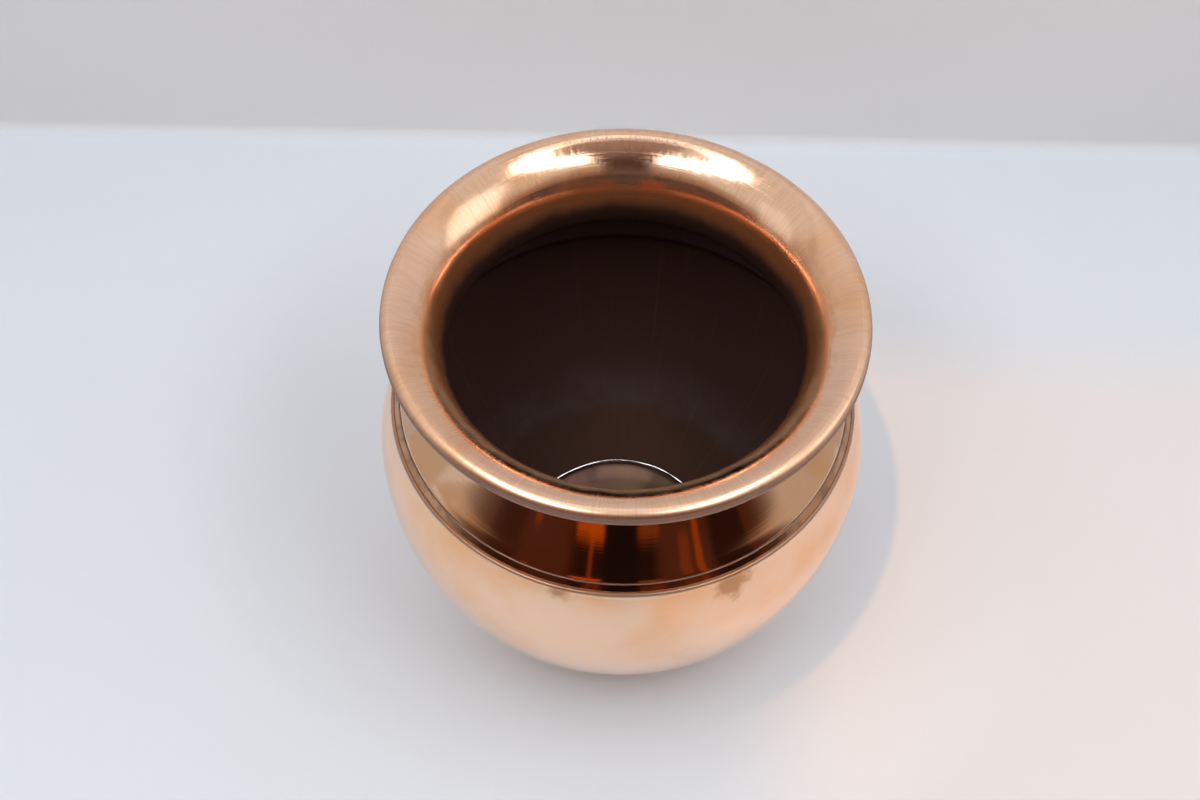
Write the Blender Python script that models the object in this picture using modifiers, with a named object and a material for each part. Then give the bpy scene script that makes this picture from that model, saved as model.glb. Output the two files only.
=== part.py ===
"""Copper lota: a neck collar with a rolled rim, sleeved into a spun bowl that has a soldered base disc.

Every piece is a turned profile on the Z axis. The origin is the centre of the face that the pot stands on.
"""

import math

import bpy

# Driving dimensions, in metres. Heights go up from the standing face, and each rise is to the next circle.
BELLY_HEIGHT = 0.05365
SHOULDER_RISE = 0.01525
NECK_RISE = 0.0153
FLARE_RISE = 0.0128

# The waist is the neck's narrowest circle. The lip and the bowl's mouth stand out from it.
WAIST_RADIUS = 0.0382
LIP_OVERHANG = 0.0118
MOUTH_OVERHANG = 0.0118
BELLY_SWELL = 0.00355

# How far the belly's curve would run on below the standing face, which cuts it off.
FOOT_CUT = 0.0043
FOOT_FILLET = 0.005
FLANGE_WIDTH = 0.005
DISC_RADIUS = 0.023

SHEET = 0.001
WIRE_DIAMETER = 0.0016
CURL_SLOT = 0.0006
SLEEVE_LENGTH = 0.006
SLEEVE_BEND_RADIUS = 0.003
WAIST_BEND_RADIUS = 0.006
BRAZE_LEG = 0.0007
SOLDER_WIDTH = 0.0012

# Gap between neighbouring pieces.
CLEARANCE = 0.0003

# Circles of the outline, worked out from the sizes above.
MOUTH_HEIGHT = BELLY_HEIGHT + SHOULDER_RISE
WAIST_HEIGHT = MOUTH_HEIGHT + NECK_RISE
LIP_HEIGHT = WAIST_HEIGHT + FLARE_RISE
LIP_RADIUS = WAIST_RADIUS + LIP_OVERHANG
MOUTH_RADIUS = WAIST_RADIUS + MOUTH_OVERHANG
BELLY_RADIUS = MOUTH_RADIUS + BELLY_SWELL

# The rolled lip: sheet round a wire, and the circle that the wire follows.
BEAD_RADIUS = WIRE_DIAMETER / 2 + CLEARANCE + SHEET
BEAD_CENTRE = (LIP_RADIUS - BEAD_RADIUS, LIP_HEIGHT)

# Points closer than this are one point, and how often a solved value is halved in on.
MERGE_DISTANCE = 0.00001
HALVINGS = 60

# Facets round the axis, and along each kind of curve.
TURN_STEPS = 56
CURL_STEPS = 9
FLARE_STEPS = 8
SLOT_SAMPLES = 60
WAIST_STEPS = 4
BEND_STEPS = 3
SHOULDER_STEPS = 4
BELLY_STEPS = 11
FOOT_STEPS = 3
WIRE_STEPS = 10
SOLDER_STEPS = 3


class Arc:
    """An elliptical arc in the (radius, height) plane, which can be read at any depth inside its curve."""

    def __init__(self, centre, radii, start, end):
        self.centre = centre
        self.radii = radii
        self.start = start
        self.end = end

    def point(self, angle, inset=0.0):
        a, b = self.radii
        c, s = math.cos(angle), math.sin(angle)
        length = math.hypot(b * c, a * s)
        return (
            self.centre[0] + a * c - inset * b * c / length,
            self.centre[1] + b * s - inset * a * s / length,
        )

    def points(self, steps, inset=0.0):
        span = self.end - self.start
        return [self.point(self.start + span * i / steps, inset) for i in range(steps + 1)]


def solve(low, high, height):
    """The value between low and high at which a rising function is zero."""
    for _ in range(HALVINGS):
        middle = (low + high) / 2
        if height(middle) < 0:
            low = middle
        else:
            high = middle
    return (low + high) / 2


def join(*runs):
    """One list from runs of points that each start where the last one ended."""
    points = list(runs[0])
    for run in runs[1:]:
        points += run[1:]
    return points


class Bowl:
    """The bowl's outer curve: shoulder, belly and foot. The collar and the base disc are fitted to it."""

    def __init__(self):
        height = SHOULDER_RISE / math.sqrt(1 - (MOUTH_RADIUS / BELLY_RADIUS) ** 2)
        centre = (0.0, BELLY_HEIGHT)
        self.shoulder = Arc(centre, (BELLY_RADIUS, height), math.pi / 2, 0.0)
        self.belly = Arc(centre, (BELLY_RADIUS, BELLY_HEIGHT + FOOT_CUT), 0.0, -math.pi / 2)
        # The foot's fillet touches both the belly and the standing face.
        self.belly.end = -solve(
            0.0,
            math.pi / 2,
            lambda t: FOOT_FILLET - self.belly.point(-t, FOOT_FILLET)[1],
        )
        foot_centre = self.belly.point(self.belly.end, FOOT_FILLET)
        touch = self.belly.point(self.belly.end)
        lean = math.atan2(touch[1] - foot_centre[1], touch[0] - foot_centre[0])
        self.foot = Arc(foot_centre, (FOOT_FILLET, FOOT_FILLET), lean, -math.pi / 2)

    def shoulder_run(self, inset):
        """Shoulder points from the level cut at the mouth down to the belly's widest circle."""
        top = solve(0.0, math.pi / 2, lambda t: self.shoulder.point(t, inset)[1] - MOUTH_HEIGHT)
        return Arc(self.shoulder.centre, self.shoulder.radii, top, 0.0).points(SHOULDER_STEPS, inset)

    def sleeve_radius(self):
        """The outside radius of a sleeve that slips into the mouth."""
        return self.shoulder_run(SHEET)[0][0] - CLEARANCE

    def side(self, inset):
        """Points down the whole wall, from the mouth to the flange's hole."""
        flange_edge = (self.foot.centre[0] - FLANGE_WIDTH, inset)
        return join(
            self.shoulder_run(inset),
            self.belly.points(BELLY_STEPS, inset),
            self.foot.points(FOOT_STEPS, inset),
        ) + [flange_edge]

    def at_radius(self, radius, depth):
        """The arc of the lower wall, and the angle on it, where its curve at this depth has a radius."""
        joint = self.belly.point(self.belly.end, depth)[0]
        arc = self.belly if radius > joint else self.foot
        return arc, solve(arc.end, arc.start, lambda t: arc.point(t, depth)[0] - radius)

    def floor(self, radius, depth, inset):
        """Points along the floor to the axis, starting square to the wall at a radius and depth."""
        arc, angle = self.at_radius(radius, depth)
        run = Arc(arc.centre, arc.radii, angle, arc.end).points(FOOT_STEPS, inset)
        if arc is self.belly:
            run = join(run, self.foot.points(FOOT_STEPS, inset))
        return run + [(0.0, inset)]


def material(name, colour, roughness, metallic=1.0):
    made = bpy.data.materials.new(name)
    made.use_nodes = True
    shader = made.node_tree.nodes["Principled BSDF"]
    shader.inputs["Base Color"].default_value = (*colour, 1.0)
    shader.inputs["Roughness"].default_value = roughness
    shader.inputs["Metallic"].default_value = metallic
    return made


def turned(name, profile, finish, collection, closed=True):
    """A solid turned from a profile of (radius, height) points that runs down its outer side."""
    mesh = bpy.data.meshes.new(name)
    count = len(profile)
    edges = [(i, (i + 1) % count) for i in range(count if closed else count - 1)]
    mesh.from_pydata([(r, 0.0, z) for r, z in profile], edges, [])
    mesh.materials.append(finish)
    piece = bpy.data.objects.new(name, mesh)
    collection.objects.link(piece)
    screw = piece.modifiers.new("Turn", "SCREW")
    screw.axis = "Z"
    screw.angle = math.tau
    screw.steps = TURN_STEPS
    screw.render_steps = TURN_STEPS
    screw.use_merge_vertices = True
    screw.merge_threshold = MERGE_DISTANCE
    screw.use_smooth_shade = True
    return piece


def neck_collar(bowl, finish, collection):
    """The flared neck: its lip curls down round a wire, and its sleeve fits inside the bowl's mouth."""
    # The flare is one arc that stands upright at the throat and touches the bead, which fixes its radius.
    throat = WAIST_RADIUS - SHEET
    inward = BEAD_CENTRE[0] - throat
    radius = (inward**2 + FLARE_RISE**2 - BEAD_RADIUS**2) / (2 * (inward - BEAD_RADIUS))
    flare_centre = (throat + radius, WAIST_HEIGHT)
    touch = math.atan2(FLARE_RISE, BEAD_CENTRE[0] - flare_centre[0])
    flare = Arc(flare_centre, (radius, radius), touch, math.pi)

    # The curl turns over the lip's edge and up its inner side, and stops a slot short of the flare.
    curl = Arc(BEAD_CENTRE, (BEAD_RADIUS, BEAD_RADIUS), 0.0, touch)
    underside = flare.points(SLOT_SAMPLES, SHEET)
    curl.start = -solve(
        math.pi / 2,
        1.5 * math.pi,
        lambda t: CURL_SLOT - min(math.dist(curl.point(-t), spot) for spot in underside),
    )

    # Below its waist the neck bends out to a cone, then back to run straight down into the bowl's mouth.
    # Both bends touch the cone, so the line between their centres gives its slope.
    sleeve = bowl.sleeve_radius()
    bends = WAIST_BEND_RADIUS + SLEEVE_BEND_RADIUS
    across = sleeve - WAIST_RADIUS - bends
    cone_length = math.sqrt(NECK_RISE**2 + across**2 - bends**2)
    slope = math.atan2(across, NECK_RISE) + math.atan2(bends, cone_length)
    waist_centre = (WAIST_RADIUS + WAIST_BEND_RADIUS, WAIST_HEIGHT)
    waist = Arc(waist_centre, (WAIST_BEND_RADIUS, WAIST_BEND_RADIUS), math.pi, math.pi + slope)
    bend_centre = (sleeve - SLEEVE_BEND_RADIUS, MOUTH_HEIGHT)
    bend = Arc(bend_centre, (SLEEVE_BEND_RADIUS, SLEEVE_BEND_RADIUS), slope, 0.0)
    sleeve_end = MOUTH_HEIGHT - SLEEVE_LENGTH

    # The flare and the curl are drawn on the sheet's inner face, and the rest on its outer one.
    outer = join(
        curl.points(CURL_STEPS, SHEET),
        flare.points(FLARE_STEPS, SHEET),
        waist.points(WAIST_STEPS),
    )
    outer += bend.points(BEND_STEPS) + [(sleeve, sleeve_end)]
    inner = join(
        curl.points(CURL_STEPS),
        flare.points(FLARE_STEPS),
        waist.points(WAIST_STEPS, -SHEET),
    )
    inner += bend.points(BEND_STEPS, SHEET) + [(sleeve - SHEET, sleeve_end)]
    return turned("neck_collar", outer + inner[::-1], finish, collection)


def rim_wire(finish, collection):
    """The stiffening wire inside the rolled lip."""
    radius = WIRE_DIAMETER / 2
    section = Arc(BEAD_CENTRE, (radius, radius), math.pi / 2, -1.5 * math.pi)
    return turned("rim_wire", section.points(WIRE_STEPS)[:-1], finish, collection)


def bowl_shell(bowl, finish, collection):
    """The belly, cut level at the mouth and turned in below as the flange that the pot stands on."""
    return turned("bowl", bowl.side(0.0) + bowl.side(SHEET)[::-1], finish, collection)


def shoulder_braze(bowl, finish, collection):
    """The fillet of braze in the corner between the collar and the bowl's cut edge."""
    inside = bowl.sleeve_radius() + CLEARANCE
    base = MOUTH_HEIGHT + CLEARANCE
    profile = [(inside, base + BRAZE_LEG), (inside + BRAZE_LEG, base), (inside, base)]
    return turned("shoulder_braze", profile, finish, collection)


def base_disc(bowl, finish, collection):
    """The floor: a disc dished to the bowl's inside, lying on its flange and closing the hole."""
    lower = SHEET + CLEARANCE
    upper = lower + SHEET
    profile = bowl.floor(DISC_RADIUS, lower, upper)[::-1] + bowl.floor(DISC_RADIUS, lower, lower)
    return turned("base_disc", profile, finish, collection, closed=False)


def base_solder(bowl, finish, collection):
    """The wedge of solder between the base disc's edge and the bowl's wall."""
    lower = SHEET + CLEARANCE
    inside = DISC_RADIUS + CLEARANCE
    arc, angle = bowl.at_radius(inside, lower)
    profile = [arc.point(angle, lower + SHEET)]
    for step in range(SOLDER_STEPS, -1, -1):
        arc, angle = bowl.at_radius(inside + SOLDER_WIDTH * step / SOLDER_STEPS, lower)
        profile.append(arc.point(angle, lower))
    return turned("base_solder", profile, finish, collection)


def clear_scene():
    for found in list(bpy.data.objects):
        bpy.data.objects.remove(found, do_unlink=True)


def main():
    clear_scene()
    pot = bpy.data.collections.new("lota")
    bpy.context.scene.collection.children.link(pot)
    copper = material("polished_copper", (0.80, 0.42, 0.25), 0.12)
    floor_copper = material("heat_tinted_copper", (0.42, 0.22, 0.16), 0.30)
    steel = material("steel_wire", (0.55, 0.55, 0.56), 0.35)
    braze = material("copper_braze", (0.72, 0.42, 0.26), 0.25)
    solder = material("silver_solder", (0.78, 0.77, 0.74), 0.22)
    bowl = Bowl()
    neck_collar(bowl, copper, pot)
    rim_wire(steel, pot)
    bowl_shell(bowl, copper, pot)
    shoulder_braze(bowl, braze, pot)
    base_disc(bowl, floor_copper, pot)
    base_solder(bowl, solder, pot)


if __name__ == "__main__":
    main()
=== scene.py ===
"""Looks of the copper lota: buffed sheet with a rolled lip, a soldered floor and a plain pale stage."""

import math

import bmesh
import bpy
from bpy.props import FloatProperty, FloatVectorProperty, IntProperty, PointerProperty
from mathutils import Matrix, Vector, noise


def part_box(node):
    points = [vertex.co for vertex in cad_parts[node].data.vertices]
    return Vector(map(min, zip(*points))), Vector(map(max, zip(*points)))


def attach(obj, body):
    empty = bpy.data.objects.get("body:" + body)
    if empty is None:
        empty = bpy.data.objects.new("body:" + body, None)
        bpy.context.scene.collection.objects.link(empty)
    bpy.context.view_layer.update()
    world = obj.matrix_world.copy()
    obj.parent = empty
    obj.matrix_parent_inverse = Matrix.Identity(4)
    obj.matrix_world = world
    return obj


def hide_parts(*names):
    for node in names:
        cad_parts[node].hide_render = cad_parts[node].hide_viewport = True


bl_info = {
    "name": "Copper lota",
    "version": (1, 0, 0),
    "blender": (4, 5, 0),
    "location": "3D View > Sidebar > Lota",
    "description": "Dresses the packed lota in copper, patina and solder on a pale stage",
    "category": "Object",
}

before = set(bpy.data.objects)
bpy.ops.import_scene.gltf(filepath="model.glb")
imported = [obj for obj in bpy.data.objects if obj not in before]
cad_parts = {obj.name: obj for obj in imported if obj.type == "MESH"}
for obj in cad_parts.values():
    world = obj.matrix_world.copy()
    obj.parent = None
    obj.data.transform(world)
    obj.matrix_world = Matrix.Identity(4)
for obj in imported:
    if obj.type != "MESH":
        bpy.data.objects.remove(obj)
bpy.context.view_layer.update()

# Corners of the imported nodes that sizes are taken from.
COLLAR_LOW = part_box("neck_collar")[0]
WIRE_LOW, WIRE_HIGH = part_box("rim_wire")
BOWL_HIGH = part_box("bowl")[1]
BRAZE_LOW, BRAZE_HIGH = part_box("shoulder_braze")
DISC_LOW, DISC_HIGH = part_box("base_disc")
SOLDER_LOW, SOLDER_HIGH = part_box("base_solder")

AXIS = (0.0, 0.0, 1.0)
CENTRE = (0.0, 0.0, 0.0)
MERGE_DISTANCE = 1e-6
INSIDE = "inside"

# Each stain on the belly, below the shoulder seam: its middle and its size.
STAINS = (
    ((0.0238, -0.0450, 0.0672), 0.0055),
    ((-0.0115, -0.0494, 0.0678), 0.0028),
)

# Where the marks on the copper begin and are full, as heights from the waist; the throat and warm spans place
# painted reflections.
FLARE_FOOT = (0.0, 0.004)
EDGE_FOOT = (0.004, 0.008)
THROAT_SPAN = (0.008, 0.002)
WARM_SPAN = (0.0130, 0.0100)
BROWN_SPAN = (0.0112, 0.007)
DARK_SPAN = (0.0075, 0.001)
NECK_SPAN = (-0.010, -0.004)
RINGS_FOOT = (-0.004, 0.0)
RINGS_TOP = (0.009, 0.003)

# The same, as heights from the middle of the lip, from the mouth, from the sleeve's end and from the table;
# the sleeve span places patina lightened as painted light, the sheen spans a painted sheen.
UNDER_SPAN = (0.0018, 0.0004)
SEAM_FOOT = (-0.0007, -0.0002)
SEAM_TOP = (0.0014, 0.0006)
SLEEVE_SPAN = (-0.004, 0.002)
LOW_SPAN = (0.012, 0.024)
SHEEN_FOOT = (0.0100, 0.0130)
SHEEN_TOP = (0.0230, 0.0140)

# The same, as distances from the lip's outer radius, and along Y for the front and sides of the throat, which
# take the painted orange reflection and the painted shade.
EDGE_RADIUS = (-0.0036, -0.0028)
LIP_RADIUS = (-0.0028, -0.0018)
SIDE_SPAN = (0.025, 0.005)

# How far the tarnish line and the painted bands wander, and how much higher the dark patina is painted on the
# front and sides, as painted shade.
LINE_WANDER = 0.003
SIDE_LIFT = 0.002

# The floor's pink heat tint and its painted shade towards the right, along X, and how far they wander.
PINK_SPAN = (0.004, -0.013)
PAINTED_SHADE_SPAN = (0.003, 0.012)
TINT_WANDER = 0.016

# The dull upper edge of the braze, as heights from the top of its solid, and how far it wanders.
DULL_SPAN = (0.0002, 0.0006)
DULL_WANDER = 0.0003


def length(name, description, default):
    return FloatProperty(name=name, description=description, default=default, unit="LENGTH", precision=5)


def colour(name, description, default):
    return FloatVectorProperty(
        name=name, description=description, default=default, subtype="COLOR", size=3, min=0.0, max=1.0
    )


class LotaSizes(bpy.types.PropertyGroup):
    """Sizes of the pot's sheet metal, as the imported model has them."""

    sheet: length("Sheet", "Thickness of the copper sheet", 0.001)
    clearance: length("Clearance", "Gap between neighbouring pieces", 0.0003)
    lip_radius: length("Lip radius", "Outer radius of the rolled lip", 0.05)
    lip_height: length("Lip height", "Height of the middle of the rolled lip", (WIRE_LOW.z + WIRE_HIGH.z) / 2)
    wire_radius: length("Wire radius", "Radius of the wire inside the lip", (WIRE_HIGH.z - WIRE_LOW.z) / 2)
    waist_radius: length("Waist radius", "Outer radius of the neck where it is narrowest", 0.0382)
    waist_height: length("Waist height", "Height of the neck's narrowest circle", 0.0842)
    waist_bend: length("Waist bend", "Radius of the bend below the waist", 0.006)
    sleeve_bend: length("Sleeve bend", "Radius of the bend above the sleeve", 0.003)
    neck_bow: length("Neck bow", "Radius of the slight hollow of the neck between its bends", 0.1)
    sleeve_end: length("Sleeve end", "Height of the sleeve's lower edge", COLLAR_LOW.z)
    braze_leg: length("Braze leg", "Width of the braze fillet on each side", BRAZE_HIGH.z - BRAZE_LOW.z)
    mouth_height: length("Mouth height", "Height of the bowl's cut edge", BOWL_HIGH.z)
    mouth_radius: length("Mouth radius", "Outer radius of the bowl's cut edge", 0.05)
    belly_radius: length("Belly radius", "Radius of the belly where it is widest", BOWL_HIGH.x)
    belly_height: length("Belly height", "Height of the belly's widest circle", 0.05365)
    foot_cut: length("Foot cut", "How far the belly's curve would run on below the table", 0.0043)
    foot_fillet: length("Foot fillet", "Radius of the bend from belly to flange", 0.005)
    flange_width: length("Flange width", "Width of the flat ring that the pot stands on", 0.005)
    disc_radius: length("Disc radius", "Radius of the base disc", DISC_HIGH.x)
    solder_width: length(
        "Solder width", "Width of the solder round the base disc", SOLDER_HIGH.x - DISC_HIGH.x
    )
    turn_steps: IntProperty(
        name="Turn steps", description="Facets round the pot's axis", default=240, min=48, max=480
    )


class LotaFinishes(bpy.types.PropertyGroup):
    """Colours of the pot's metals."""

    copper: colour("Copper", "Buffed copper", (0.95, 0.63, 0.44))
    # Also painted at the throat as a painted reflection: the deeper orange of copper seen in copper.
    copper_deep_and_reflection: colour("Deep copper", "Copper where the buffing is thinner", (0.92, 0.51, 0.28))
    tarnish: colour("Tarnish", "Purple brown under the lip and in the seam", (0.24, 0.135, 0.11))
    stain: colour("Stain", "Brown stains below the shoulder seam", (0.42, 0.19, 0.07))
    streak: colour("Streak", "Brown streaks down the flare", (0.66, 0.36, 0.23))
    # Painted reflection: this orange stands in for the far flare's edge seen above the throat.
    warm: colour("Warm edge", "Thin orange tarnish above the throat", (0.66, 0.34, 0.17))
    throat: colour("Throat brown", "Thin tarnish just inside the throat", (0.48, 0.175, 0.070))
    neck: colour("Neck patina", "Tarnish inside the neck", (0.040, 0.018, 0.013))
    # Patina, lightened as painted light to lift the shade behind the shoulder.
    sleeve: colour("Sleeve patina", "Tarnish behind the shoulder", (0.085, 0.045, 0.042))
    patina: colour("Patina", "Dark tarnish on the inside", (0.082, 0.038, 0.031))
    # Painted sheen: a grey reflection band low on the inside.
    painted_sheen: colour("Tide line", "Grey bloom that water left low on the inside", (0.096, 0.062, 0.060))
    patina_low: colour("Low patina", "Tarnish near the floor", (0.082, 0.038, 0.025))
    tint_pink: colour("Pink tint", "Heat tint on the base disc", (0.38, 0.19, 0.17))
    tint_straw: colour("Straw tint", "Heat tint near the middle of the base disc", (0.44, 0.26, 0.165))
    solder: colour("Solder", "Bright solder", (0.80, 0.81, 0.84))
    solder_dull: colour("Dull solder", "Solder where its skin is duller", (0.42, 0.40, 0.40))
    braze: colour("Braze", "Braze in the shoulder seam", (0.72, 0.44, 0.29))
    steel: colour("Steel", "Drawn wire inside the lip", (0.55, 0.55, 0.56))
    steel_dark: colour("Dark steel", "Lines along the drawn wire", (0.38, 0.37, 0.37))


class LotaStage(bpy.types.PropertyGroup):
    """Colours and levels of the stage."""

    table: colour("Table", "Pale table top", (0.775, 0.835, 0.910))
    # Painted light: a warm pool of light on the table's right, beyond the painted edge of the pot's shadow.
    table_painted_warm_light: colour("Warm table", "Table top on its warmer side", (0.865, 0.83, 0.83))
    # Painted light: brighter close to the pot, which lifts the pot's shadow there.
    table_painted_light_near: colour("Near table", "Warm table top close to the pot", (0.99, 0.94, 0.94))
    wall: colour("Wall", "Pale wall behind the pot", (0.87, 0.895, 0.93))
    room: colour("Room", "Light round the stage, high up", (0.71, 0.685, 0.655))
    room_low: colour("Low room", "Light round the stage, near the horizon", (0.47, 0.41, 0.345))
    card: colour("Front card", "Dark card in front of the stage", (0.064, 0.020, 0.011))
    shade: colour("Shade", "Darkest part of the front cards", (0.010, 0.005, 0.004))
    strip: colour("Strip", "Warm strips on the front card", (0.40, 0.080, 0.004))
    haze: colour("Haze", "Top of the front card, between its dark part and the room", (0.42, 0.28, 0.20))
    gap: colour("Gap card", "Dim card in the gap of the ring light, at its front", (0.085, 0.050, 0.042))
    gap_far: colour("Far gap", "Dim card in the gap of the ring light, at its back", (0.34, 0.26, 0.24))
    ring_level: FloatProperty(
        name="Ring level", description="Brightness of the ring light overhead", default=7.0, min=0.0
    )


class Field:
    """A shader value that Python arithmetic works on; each step adds a Math node."""

    def __init__(self, recipe, socket):
        self.recipe = recipe
        self.socket = socket

    def math(self, operation, *terms):
        return self.recipe.node("ShaderNodeMath", {"operation": operation}, dict(enumerate(terms)))

    def __add__(self, other):
        return self.math("ADD", self, other)

    def __radd__(self, other):
        return self.math("ADD", other, self)

    def __sub__(self, other):
        return self.math("SUBTRACT", self, other)

    def __rsub__(self, other):
        return self.math("SUBTRACT", other, self)

    def __mul__(self, other):
        return self.math("MULTIPLY", self, other)

    def __rmul__(self, other):
        return self.math("MULTIPLY", other, self)


class Recipe:
    """A node tree under construction."""

    def __init__(self, tree):
        self.tree = tree

    def node(self, kind, settings=None, inputs=None, output=0):
        """Adds a node: its settings first, then the values or links of its sockets."""
        made = self.tree.nodes.new(kind)
        for key, value in (settings or {}).items():
            setattr(made, key, value)
        for key, value in (inputs or {}).items():
            self.feed(made.inputs[key], value)
        return Field(self, made.outputs[output])

    def feed(self, socket, value):
        if isinstance(value, Field):
            self.tree.links.new(value.socket, socket)
        else:
            socket.default_value = value

    def place(self):
        """Object coordinates."""
        return self.node("ShaderNodeTexCoord", output="Object")

    def parts(self, vector):
        """The three numbers of a vector."""
        split = self.node("ShaderNodeSeparateXYZ", inputs={0: vector})
        return [Field(self, out) for out in split.socket.node.outputs]

    def vector(self, x, y, z):
        return self.node("ShaderNodeCombineXYZ", inputs={0: x, 1: y, 2: z})

    def scaled(self, vector, by):
        return self.node("ShaderNodeVectorMath", {"operation": "MULTIPLY"}, {0: vector, 1: by})

    def radius(self, vector):
        """Distance from the pot's axis."""
        flat = self.scaled(vector, (1.0, 1.0, 0.0))
        return self.node("ShaderNodeVectorMath", {"operation": "LENGTH"}, {0: flat}, output="Value")

    def noise(self, vector, scale, detail=2.0, roughness=0.5, w=None):
        settings = {"noise_dimensions": "3D" if w is None else "4D"}
        inputs = {"Vector": vector, "Scale": scale, "Detail": detail, "Roughness": roughness}
        if w is not None:
            inputs["W"] = w
        return self.node("ShaderNodeTexNoise", settings, inputs)

    def rise(self, value, low, high, start=0.0, end=1.0):
        """Goes smoothly from start to end as the value goes from low to high."""
        inputs = {"Value": value, "From Min": low, "From Max": high, "To Min": start, "To Max": end}
        return self.node("ShaderNodeMapRange", {"interpolation_type": "SMOOTHSTEP"}, inputs)

    def fade(self, value, base, span):
        """Goes smoothly from zero to one over a span that is measured from a base."""
        return self.rise(value, base + span[0], base + span[1])

    def mix(self, factor, first, second):
        """Goes from the first colour to the second."""
        settings = {"data_type": "RGBA", "clamp_factor": True}
        return self.node("ShaderNodeMix", settings, {0: factor, 6: rgba(first), 7: rgba(second)}, output=2)


def rgba(value):
    return value if isinstance(value, Field) else (*value, 1.0)


class Finish(Recipe):
    """A surface made from one Principled shader."""

    MARK_SCALE = 2600.0
    DRIFT_SCALE = 40.0

    def __init__(self, name):
        self.material = bpy.data.materials.new(name)
        self.material.use_nodes = True
        super().__init__(self.material.node_tree)
        self.shader = self.tree.nodes["Principled BSDF"]

    def set(self, **sockets):
        for key, value in sockets.items():
            self.feed(self.shader.inputs[key.replace("_", " ")], value)

    def bump(self, height, strength, distance):
        return self.node(
            "ShaderNodeBump", inputs={"Height": height, "Strength": strength, "Distance": distance}
        )

    def turning_marks(self, place):
        """Fine rings left by turning and buffing, which drift slowly round the pot."""
        x, y, z = self.parts(place)
        rings = self.vector(self.radius(place) * self.MARK_SCALE, z * self.MARK_SCALE, x * self.DRIFT_SCALE)
        return self.noise(rings, scale=1.0, detail=3.0, roughness=0.6, w=y * self.DRIFT_SCALE)

    def around(self, place, often, along):
        """Marks along the profile; often and along say how fast they change round it and down it."""
        flat = self.scaled(place, (1.0, 1.0, 0.0))
        x, y, _ = self.parts(self.node("ShaderNodeVectorMath", {"operation": "NORMALIZE"}, {0: flat}))
        run = (self.parts(place)[2] + self.radius(place)) * along
        return self.noise(self.vector(x * often, y * often, run), scale=1.0, detail=3.0, roughness=0.7)

    def layered(self, *bumps):
        """Bumps on top of each other, the broadest first."""
        for lower, upper in zip(bumps, bumps[1:]):
            self.feed(upper.socket.node.inputs["Normal"], lower)
        return bumps[-1]


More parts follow.
